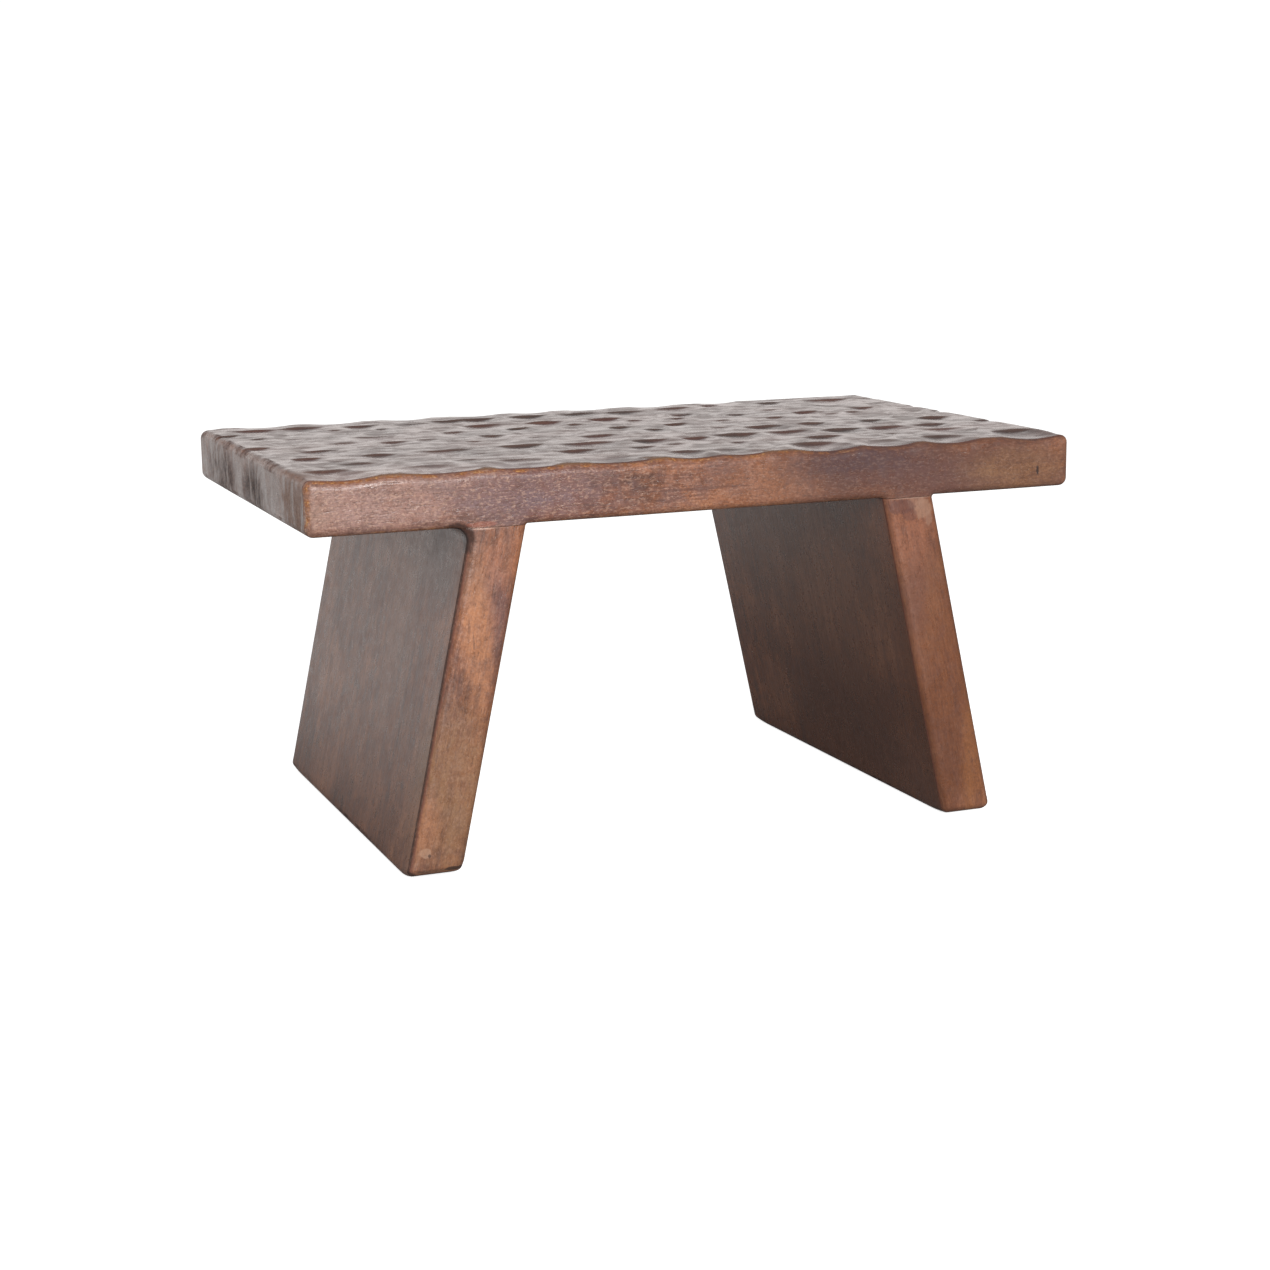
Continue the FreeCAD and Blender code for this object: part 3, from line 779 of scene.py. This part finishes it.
class StainedWood:
    """Dark stained hardwood under satin lacquer, laid layer by layer. It holds the patterns
    that the layers share, the colour so far, and how matt the lacquer is so far."""

    def __init__(self, name, turn, streak_width):
        self.material, self.tree, self.shader = new_material(name)
        tree = self.tree
        self.palette = colours()
        self.place = object_place(tree)
        along = turned(tree, self.place, turn)
        self.grain = shared(tree, "Hardwood grain", vector=along, streak_width=streak_width)
        self.clouds = shared(tree, "Stain clouds", vector=along)
        self.facing = attribute(tree, "facing", "Vector")
        self.ways = split(tree, self.facing)
        self.upward = between(tree, self.ways["Z"], 0.78, 0.985)
        self.plain = weighted(tree, 1.0, (self.upward, -0.9))
        self.right = split(tree, self.place)["X"]
        self.colour = None
        self.matt = 0.0

    def paint(self, mask, colour):
        """Lay a colour over the wood as strongly as the mask says."""
        self.colour = mix_colour(self.tree, mask, self.colour, colour)

    def dull(self, mask):
        """Make the lacquer at least as matt as the mask."""
        self.matt = calc(self.tree, "MAXIMUM", self.matt, mask)

    def patch(self, centre, half_size, ragged, soft):
        """The mask of a zone or a mark, from its place in millimetres."""
        return shared(self.tree, "Mark", vector=self.place, centre=Vector(centre) * MM,
                      half_size=Vector(half_size) * MM, ragged=ragged, soft=soft)[0]

    def stain(self, streak_weight, cast):
        """The stain that the grain and the clouds take up, and its cool blotches."""
        tree, grain, clouds, palette = self.tree, self.grain, self.clouds, self.palette
        uptake = ((grain["Streaks"], streak_weight), (clouds["Clouds"], 0.35),
                  (grain["Fibres"], 0.34), (clouds["Mottle"], 0.28))
        shade = weighted(tree, 0.48 - sum(weight for _, weight in uptake) / 2, *uptake)
        ramp = shader_node(tree, "ShaderNodeValToRGB", {"Fac": shade})
        stops = ramp.color_ramp.elements
        stops[0].position, stops[0].color = 0.05, opaque(palette.dark_stain)
        stops[1].position, stops[1].color = 0.95, opaque(palette.light_stain)
        stops.new(0.5).color = opaque(palette.mid_stain)
        self.colour = ramp.outputs[0]
        self.paint(times(tree, clouds["Patches"], cast), palette.purple_cast)

    def stain_top(self, crest):
        """Darker stain where the wood faces up, thinner on the crests of a carved top."""
        tree, grain, clouds, palette = self.tree, self.grain, self.clouds, self.palette
        top = mix_colour(tree, times(tree, clouds["Clouds"], 0.7), palette.top_stain,
                         palette.top_red)
        if crest is not None:
            height = weighted(tree, -0.16, (crest, 1.0), (clouds["Mottle"], 0.16),
                              (grain["Streaks"], 0.16))
            thin = times(tree, between(tree, height, 0.15, 1.05), 0.75)
            top = mix_colour(tree, thin, top, palette.top_crest)
        streaky = weighted(tree, 0.75, (grain["Streaks"], 0.2))
        self.paint(times(tree, self.upward, streaky), top)

    def lay_zones(self, zones):
        """Broad zones of colour, broken up by the grain: mostly the stain, some of them
        painted shade and some painted sheen. A zone may be matt too.
        """
        tree = self.tree
        for centre, half_size, colour, strength, *matt_share in zones:
            broken = weighted(tree, 0.5, (self.grain["Streaks"], 0.5),
                              (self.clouds["Mottle"], 0.35))
            mask = times(tree, self.patch(centre, half_size, 0.9, 0.6),
                         times(tree, broken, strength))
            self.paint(mask, colour)
            if matt_share:
                self.dull(times(tree, mask, matt_share[0]))

    def lay_sheen_wisps(self, strength):
        """Pale wisps on the faces that look left or right: painted sheen where the lacquer
        shines, in streaks, with the lacquer glossier there too.
        """
        tree = self.tree
        streaks = stretched_noise(tree, self.place, (24, 80, 30), detail=3.0, roughness=0.5,
                                  distortion=0.8)
        end = between(tree, calc(tree, "ABSOLUTE", self.ways["X"]), 0.75, 0.98)
        wisp = times(tree, between(tree, streaks, 0.43, 0.62), end)
        # Painted sheen: paler grey in the wisps.
        self.paint(times(tree, wisp, strength), self.palette.painted_sheen_wisp)
        self.matt = times(tree, self.matt, weighted(tree, 1.0, (wisp, -0.6)))

    def rub_arrises(self, gold, spread, left_stain_and_shade, dark_reach):
        """Dark on the arrises, partly thick stain and partly painted shade, and the line where
        the stain is rubbed to gold.
        """
        tree, palette = self.tree, self.palette
        leftward = between(tree, self.ways["X"], 0.0, -0.3)
        edge = shared(tree, "Arris finish", vector=self.place, arris=attribute(tree, "arris"),
                      facing=self.facing, spread=spread,
                      dark_reach=weighted(tree, dark_reach, (leftward, left_stain_and_shade)))
        # Painted shade and stain: the dark band over the arrises, reaching further or less far
        # on those that face left, as set for each board.
        reddish = calc(tree, "MAXIMUM", edge["Red"], times(tree, edge["Specks"], 0.35))
        self.paint(times(tree, edge["Dark"], 0.92),
                   mix_colour(tree, reddish, palette.dark_arris, palette.red_arris))
        bright = weighted(tree, 0.11 * gold, (self.towards_left(), 0.67 * gold))
        worn = between(tree, noise(tree, self.place, 130.0, 4.0, 0.7), 0.44, 0.58)
        bright = times(tree, bright, weighted(tree, 0.18, (worn, 1.25)))
        bright = times(tree, bright, weighted(
            tree, 1.0, (between(tree, self.ways["Z"], -0.15, -0.6), -0.45),
            (leftward, -3.2 * abs(left_stain_and_shade))))
        self.paint(times(tree, edge["Gold"], bright),
                   mix_colour(tree, times(tree, edge["Specks"], 0.6), palette.gold_arris,
                              palette.gold_speck))
        return edge

    def towards_left(self):
        """How far the middle and the left of the stool are rubbed more than the right."""
        return between(self.tree, self.right, 0.15, -0.05)

    def rub_crests(self, crest, strength):
        """The crests beside the front edge, rubbed thin and matt."""
        tree = self.tree
        back = weighted(tree, -10 * MM, (split(tree, self.place)["Y"], 1.0),
                        (noise(tree, self.place, 70.0, 3.0), 36 * MM))
        bare = weighted(tree, 0.0, (crest, 1.0), (between(tree, back, -0.148, -0.124), -0.85))
        rubbed = times(tree, between(tree, bare, 0.15, 0.45), self.upward)
        rubbed = times(tree, rubbed, weighted(tree, 0.30 * strength, (
            self.towards_left(), 0.65 * strength)))
        self.paint(rubbed, self.palette.rubbed_crest)
        self.dull(rubbed)

    def lay_specks(self, glint, speckle):
        """Painted glints, pale specks that stand in for light glinting in the lacquer, and
        dark specks of the wood, nearly none of either where the wood faces up.
        """
        tree, grain, clouds = self.tree, self.grain, self.clouds
        # Painted glints: pale specks that stand in for light glinting in the lacquer, stronger
        # towards the left.
        glints = weighted(tree, 0.13 * glint, (
            between(tree, self.right, 0.10, -0.12), 0.32 * glint))
        self.paint(times(tree, clouds["Glints"], times(tree, glints, self.plain)),
                   self.palette.painted_glint)
        darkened = weighted(tree, 0.0, (clouds["Speckle"], speckle), (grain["Flecks"], 0.28),
                            (grain["Pores"], 0.30))
        self.paint(times(tree, darkened, self.plain), self.palette.dark_stain)

    def lay_marks(self, marks):
        """Small marks on top of everything else; some of them are painted shade."""
        for centre, half_size, colour, strength in marks:
            self.paint(times(self.tree, self.patch(centre, half_size, 1.1, 0.15), strength),
                       colour)

    def lacquer(self, edge):
        """Satin lacquer: duller on the arrises, uneven, and open over the grain."""
        tree, grain, clouds = self.tree, self.grain, self.clouds
        self.dull(times(tree, edge["Gold"], 0.3))
        self.dull(times(tree, edge["Dark"], 0.9))
        uneven = times(tree, clouds["Patches"], weighted(tree, 0.08, (self.upward, 0.05)))
        roughness = weighted(tree, 0.24, (uneven, 1.0), (self.upward, -0.04),
                             (self.matt, 0.42),
                             (times(tree, clouds["Mottle"], self.plain), 0.10))
        relief = weighted(tree, 0.0, (grain["Fibres"], 0.3), (grain["Pores"], -0.8),
                          (grain["Flecks"], -0.5), (noise(tree, self.place, 560.0, 2.0), 0.9))
        bump = shader_node(tree, "ShaderNodeBump", {
            "Strength": weighted(tree, 0.75, (self.upward, -0.71)), "Distance": 0.16 * MM,
            "Height": relief})
        feed(tree, self.shader.inputs["Base Color"], self.colour)
        feed(tree, self.shader.inputs["Roughness"], roughness)
        feed(tree, self.shader.inputs["Normal"], bump.outputs[0])


def stained_wood(name, turn, zones, marks, gold, streak_weight, spread=0.0, left_stain_and_shade=0.0,
                 streak_width=9 * MM, dark_reach=0.46, cast=0.30, glint=0.35, speckle=0.4,
                 wisps=0.0, crest_rub=0.0):
    """The stained finish of a board. turn brings the grain onto X. gold is how strong the
    golden line on the arrises is, spread how much wider it is on upright ones, dark_reach how
    far the dark band reaches over them, partly thick stain and partly painted shade, and
    left_stain_and_shade how much further it reaches on those that face left. A zone or mark is
    its centre and half size in mm, its colour and its strength, and a zone may say how matt it
    is; some zones and marks are painted shade and some painted sheen. cast is how strong the
    cool blotches are, glint the painted glints, pale specks that stand in for light glinting
    in the lacquer, speckle the dark specks, wisps the pale wisps of the ends, painted sheen,
    and crest_rub the rubbing of the crests beside the front edge."""
    wood = StainedWood(name, turn, streak_width)
    crest = attribute(wood.tree, "crest") if crest_rub else None
    wood.stain(streak_weight, cast)
    wood.stain_top(crest)
    wood.lay_zones(zones)
    if wisps:
        wood.lay_sheen_wisps(wisps)
    edge = wood.rub_arrises(gold, spread, left_stain_and_shade, dark_reach)
    if crest_rub:
        wood.rub_crests(crest, crest_rub)
    wood.lay_specks(glint, speckle)
    wood.lay_marks(marks)
    wood.lacquer(edge)
    return wood.material


def bare_beech():
    """Bare beech of the dowels, grain upright, with short dark flecks."""
    material, tree, shader = new_material("bare_beech")
    along = turned(tree, object_place(tree), (0, math.pi / 2, 0))
    grain = shared(tree, "Hardwood grain", vector=along, streak_width=2 * MM)
    beech = Vector(colours().beech)
    colour = mix_colour(tree, grain["Streaks"], beech * 0.8, beech * 1.15)
    colour = mix_colour(tree, times(tree, grain["Pores"], 0.5), colour, beech * 0.45)
    feed(tree, shader.inputs["Base Color"], colour)
    feed(tree, shader.inputs["Roughness"], weighted(tree, 0.6, (grain["Fibres"], 0.15)))
    bump = shader_node(tree, "ShaderNodeBump", {
        "Strength": 0.3, "Distance": 0.1 * MM, "Height": grain["Fibres"]})
    feed(tree, shader.inputs["Normal"], bump.outputs[0])
    return material


# Pieces

class STOOL_OT_seat_plank(bpy.types.Operator):
    """Add the seat: a thick plank with a gouge-carved top"""
    bl_idname = "stool.seat_plank"
    bl_label = "Seat plank"

    # Height from which the carving sinks the plank's rim, as a share of its half thickness
    CARVE_START = -0.5
    # Depth of carving that still counts as crest, and over which the crest fades out
    CREST_START, CREST_FADE = 0.1 * MM, 1.8 * MM

    def execute(self, context):
        size = sizes()
        radius = size.edge_round
        centre = (SEAT_LOW + SEAT_HIGH) / 2
        half = (SEAT_HIGH - SEAT_LOW) / 2
        inner = half - Vector((radius,) * 3)
        bm = lined_block(board_lines(half.x, size.top_step),
                         board_lines(half.y, size.top_step),
                         board_lines(half.z, size.slab_step))
        apart = inner - Vector((size.slab_step,) * 3)
        merge_flat_faces(bm, lambda co: co.z < -inner.z and abs(co.x) < apart.x
                         and abs(co.y) < apart.y)
        layers = arris_layers(bm)
        walls = {side: [(corner, Vector((0, 1)), towards_leg, web)
                        for corner, towards_leg, _, _, web in leg_corners(side)]
                 for side in SIDE_SIGNS}
        for vert in bm.verts:
            kept, out = round_over(vert, layers, -inner, inner)
            vert.co = centre + kept + out * radius
            if kept.z < 0 and abs(kept.y) > inner.y - TOUCH:
                near_walls = walls["left" if vert.co.x < 0 else "right"]
                shape_web(vert, layers, near_walls, vert.co.z - JOINT_LEVEL, half.y)
        self.carve(bm, centre, inner.z)
        hand_sand(bm)
        finish = stained_wood("seat_stained_wood", (0, 0, 0), SEAT_ZONES, SEAT_MARKS,
                              gold=1.12, spread=0.36, streak_weight=0.38, dark_reach=0.28,
                              cast=0.45, glint=1.0, wisps=0.9, crest_rub=0.65)
        seat = finish_board("seat_plank", bm, finish, "seat", DOWELS)
        return {"FINISHED"}

    def carve(self, bm, centre, core_height):
        """Sink the top by the carving, and note where its crests are for the finish."""
        scoops = self.scoops(centre)
        crest = bm.verts.layers.float.new("crest")
        columns = {}
        for vert in bm.verts:
            height = (vert.co.z - centre.z) / core_height
            if height <= self.CARVE_START:
                continue
            column = round(vert.co.x / MM)
            if column not in columns:
                columns[column] = [scoop for scoop in scoops
                                   if abs(column * MM - scoop[0]) < scoop[2] + MM]
            depth = self.carve_depth(vert.co, columns[column])
            vert[crest] = max(0, 1 - max(0, depth - self.CREST_START) / self.CREST_FADE)
            share = min(1, (height - self.CARVE_START) / (1 - self.CARVE_START))
            vert.co.z -= depth * share * share * (3 - 2 * share)

    @staticmethod
    def scoops(centre):
        """Each scoop in metres: the middle of its wall, how far it reaches to each side, the
        length of the wall and of the whole scoop, its depth, and whether it runs out over
        the front edge."""
        size = sizes()
        made = []
        for row in (*SCOOP_ROWS, FRONT_SCOOPS):
            front = row is FRONT_SCOOPS
            spread = size.front_scoop_spread if front else size.scoop_spread
            usual_depth = size.front_scoop_depth if front else size.scoop_depth
            for right, back, wide, share, *wall_share in row:
                wide *= MM
                wall = wide * size.scoop_wall * (wall_share[0] if front else 1)
                made.append((centre.x + right * MM, centre.y + back * MM, wide * spread,
                             wall, wide * size.scoop_length, usual_depth * share, front))
        return made

    @staticmethod
    def carve_depth(point, scoops):
        """How deep the top is carved at a point, with the crests sanded soft."""
        size = sizes()
        soft = size.crest_softness
        total = 1.0
        for x, y, reach, wall, length, depth, front in scoops:
            if front:
                fanned = min(1, max(0, y - point.y) / size.fan_length)
                reach *= size.fan_start + (1 - size.fan_start) * fanned
            across = (point.x - x) / reach
            if not -1 < across < 1:
                continue
            along = y - size.wall_bow * reach * across * across - point.y
            if along <= 0 or along >= length and not front:
                continue
            round_off = 1 - across * across
            near_wall = wall * math.sqrt(round_off)
            rise = 1 - max(0, 1 - along / near_wall) ** 2
            past = max(0, along - near_wall)
            if front:
                run = 1 + size.front_scoop_growth * past / (100 * MM)
            else:
                run = 0.5 + 0.5 * math.cos(math.pi * past / (length - near_wall))
            section = round_off ** size.scoop_section
            total += math.exp(depth * section * rise * run / soft) - 1
        from_rim = min(SEAT_HIGH.x - abs(point.x), SEAT_HIGH.y - abs(point.y))
        inside = min(1, max(0, from_rim) / size.rim_width)
        calm = size.rim_ripple + (1 - size.rim_ripple) * inside
        ripple = 0.5 + 0.5 * uneven_wave(point, RIPPLE_WAVES)
        return soft * math.log(total) + size.ripple * calm * ripple


class STOOL_OT_slab_legs(bpy.types.Operator):
    """Add the two splayed slab legs"""
    bl_idname = "stool.slab_legs"
    bl_label = "Slab legs"

    def execute(self, context):
        for side in SIDE_SIGNS:
            self.add_leg(side)
        return {"FINISHED"}

    @staticmethod
    def add_leg(side):
        size = sizes()
        sign, lean, radius = SIDE_SIGNS[side], size.leg_lean, size.edge_round
        low, high = LEG_BOXES[side]
        half_thick, half_depth = size.leg_thickness / 2, (high.y - low.y) / 2
        core_x, core_y = half_thick - radius, half_depth - radius
        corners = leg_corners(side)
        top_x = (corners[0][0].x + corners[1][0].x) / 2
        web_start = JOINT_LEVEL - size.web_zone
        levels = ([radius - place for place in reversed(arris_lines(radius))]
                  + even_lines(radius, web_start, size.slab_step)[:-1]
                  + [web_start + size.web_zone * math.sin(math.pi / 2 * n / size.web_steps)
                     for n in range(size.web_steps + 1)])
        bm = lined_block(board_lines(half_thick, size.slab_step),
                         board_lines(half_depth, size.slab_step), levels)
        merge_flat_faces(bm, lambda co: co.z > JOINT_LEVEL - MM / 10)
        layers = arris_layers(bm)
        walls = [(corner, into_wood, up_face, web)
                 for corner, _, up_face, into_wood, web in corners]

        def on_slab(across, along, level):
            """A point of the leaning slab, across it from its middle plane."""
            return Vector((top_x + sign * (JOINT_LEVEL - level) * math.tan(lean)
                           + across / math.cos(lean), along, level))

        for vert in bm.verts:
            kept, out = round_over(vert, layers, (-core_x, -core_y, radius),
                                   (core_x, core_y, math.inf))
            if vert.co.z > radius:
                place = kept + out * radius
                vert.co = on_slab(*place)
                if abs(kept.x) > core_x - TOUCH:
                    near_wall = walls[:1] if place.x * sign > 0 else walls[1:]
                    fill_corner(vert, layers[1], near_wall)
                if abs(kept.y) > core_y - TOUCH:
                    shape_web(vert, layers, walls, half_thick - abs(place.x), half_depth)
            else:
                way = Vector((out.x * math.cos(lean), out.y,
                              out.z + out.x * sign * math.sin(lean)))
                vert.co = on_slab(*kept) + way.normalized() * radius
                vert.co.z += foot_wear(vert.co, side, half_depth)
        hand_sand(bm)
        turn = (0, math.pi / 2 + sign * lean, 0)
        finish = stained_wood(f"{side}_leg_stained_wood", turn, LEG_ZONES[side],
                              LEG_MARKS[side], gold=0.7, streak_weight=0.42,
                              streak_width=5 * MM, speckle=0.25,
                              left_stain_and_shade=0.28 if side == "left" else -0.10)
        leg = finish_board(f"{side}_leg_slab", bm, finish, f"{side}_leg",
                           [name for name in DOWELS if name.startswith(side)])


class STOOL_OT_beech_dowels(bpy.types.Operator):
    """Give the dowels of the frame their bare beech"""
    bl_idname = "stool.beech_dowels"
    bl_label = "Beech dowels"

    def execute(self, context):
        beech = bare_beech()
        for name in DOWELS:
            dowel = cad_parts[name]
            dowel.data.materials.clear()
            dowel.data.materials.append(beech)
        return {"FINISHED"}


class STOOL_OT_studio(bpy.types.Operator):
    """Add the pale floor, with its painted glow and shade, the soft light and the camera"""
    bl_idname = "stool.studio"
    bl_label = "Studio"

    def execute(self, context):
        self.add_floor()
        self.add_lights()
        self.add_camera()
        context.scene.view_settings.view_transform = "Standard"
        return {"FINISHED"}

    @staticmethod
    def add_floor():
        bm = bmesh.new()
        bmesh.ops.create_circle(bm, cap_ends=True, segments=FLOOR_SIDES, radius=FLOOR_RADIUS)
        floor = mesh_object("studio_floor", bm)
        material, tree, shader = new_material("studio_floor")
        # Painted light: to the camera the floor glows at 0.8 over its pale colour, so the
        # stool's shadow on it hardly shows; to all other rays it is dark grey, painted shade
        # round the stool, and glows further to the back and the left, a painted bright
        # backdrop that the lacquer reflects.
        seen = shader_node(tree, "ShaderNodeLightPath").outputs["Is Camera Ray"]
        place = split(tree, object_place(tree))
        back = weighted(tree, place["Y"], (place["X"], -0.8))
        glow = times(tree, between(tree, back, 0.08, 1.1), 0.66)
        colour = mix_colour(tree, seen, (0.25, 0.25, 0.25), colours().floor)
        feed(tree, shader.inputs["Base Color"], colour)
        strength = shader_node(tree, "ShaderNodeMix", {0: seen, 2: glow, 3: 0.8}).outputs[0]
        feed(tree, shader.inputs["Emission Strength"], strength)
        shader.inputs["Emission Color"].default_value = (1, 1, 1, 1)
        shader.inputs["Roughness"].default_value = 0.9
        floor.data.materials.append(material)

    @staticmethod
    def add_lights():
        world = bpy.data.worlds.new("studio_world")
        world.use_nodes = True
        tree = world.node_tree
        seen = shader_node(tree, "ShaderNodeLightPath").outputs["Is Camera Ray"]
        way = split(tree, shader_node(tree, "ShaderNodeTexCoord").outputs["Generated"])
        level = calc(tree, "SQRT", calc(tree, "ADD", times(tree, way["X"], way["X"]),
                                        times(tree, way["Y"], way["Y"])))
        behind = between(tree, calc(tree, "DIVIDE", way["Y"], level), 0.45, 0.78)
        low = between(tree, way["Z"], 0.46, 0.15)
        rise = between(tree, way["Z"], -0.06, 0.11)
        sweep = times(tree, times(tree, behind, low), weighted(tree, 0.50, (rise, 0.58)))
        left = between(tree, calc(tree, "DIVIDE", way["X"], level), -0.3, -0.95)
        around = weighted(tree, 0.20, (left, 0.34), (sweep, 1.0))
        strength = shader_node(tree, "ShaderNodeMix", {0: seen, 2: around, 3: 1.05}).outputs[0]
        background = tree.nodes["Background"]
        warm = times(tree, sweep, calc(tree, "SUBTRACT", 1.0, seen))
        feed(tree, background.inputs["Color"],
             mix_colour(tree, warm, (1, 1, 1), (0.99, 0.935, 0.915)))
        tree.links.new(strength, background.inputs["Strength"])
        bpy.context.scene.world = world
        light = bpy.data.lights.new("key_softbox", "AREA")
        light.size, light.energy = KEY_WIDTH, KEY_POWER
        lamp = bpy.data.objects.new("key_softbox", light)
        lamp.location = KEY_PLACE
        lamp.visible_camera = False
        aim = Vector(KEY_AIM) - Vector(KEY_PLACE)
        lamp.rotation_mode = "QUATERNION"
        lamp.rotation_quaternion = aim.to_track_quat("-Z", "Y")
        bpy.context.scene.collection.objects.link(lamp)

    @staticmethod
    def add_camera():
        lens = bpy.data.cameras.new("photo_camera")
        lens.lens, lens.sensor_width = LENS, SENSOR
        lens.clip_start, lens.clip_end = 0.05, 100
        camera = bpy.data.objects.new("photo_camera", lens)
        yaw, pitch, roll = CAMERA_YAW, CAMERA_PITCH, CAMERA_ROLL
        forward = Vector((-math.sin(yaw) * math.cos(pitch), math.cos(yaw) * math.cos(pitch),
                          -math.sin(pitch)))
        right = Vector((math.cos(yaw), math.sin(yaw), 0))
        up = right.cross(forward)
        rolled_right = right * math.cos(roll) + up * math.sin(roll)
        rolled_up = up * math.cos(roll) - right * math.sin(roll)
        turn = Matrix((rolled_right, rolled_up, -forward)).transposed()
        camera.matrix_world = Matrix.Translation(CAMERA_PLACE) @ turn.to_4x4()
        bpy.context.scene.collection.objects.link(camera)
        bpy.context.scene.camera = camera


class STOOL_PT_sidebar(bpy.types.Panel):
    """Lists the pieces of the stool in the sidebar"""
    bl_idname = "STOOL_PT_sidebar"
    bl_label = "Carved slab stool"
    bl_space_type = "VIEW_3D"
    bl_region_type = "UI"
    bl_category = "Stool"

    def draw(self, context):
        for operator in OPERATORS:
            self.layout.operator(operator.bl_idname)
        for group in (context.scene.stool_sizes, context.scene.stool_colours):
            for name in group.__annotations__:
                self.layout.prop(group, name)


OPERATORS = (STOOL_OT_seat_plank, STOOL_OT_slab_legs, STOOL_OT_beech_dowels, STOOL_OT_studio)
CLASSES = (StoolSizes, StoolColours, *OPERATORS, STOOL_PT_sidebar)


def register():
    for cls in CLASSES:
        bpy.utils.register_class(cls)
    bpy.types.Scene.stool_sizes = bpy.props.PointerProperty(type=StoolSizes)
    bpy.types.Scene.stool_colours = bpy.props.PointerProperty(type=StoolColours)


def unregister():
    del bpy.types.Scene.stool_colours
    del bpy.types.Scene.stool_sizes
    for cls in reversed(CLASSES):
        bpy.utils.unregister_class(cls)


def main():
    register()
    bpy.ops.stool.seat_plank()
    bpy.ops.stool.slab_legs()
    bpy.ops.stool.beech_dowels()
    bpy.ops.stool.studio()


if __name__ == "__main__":
    main()
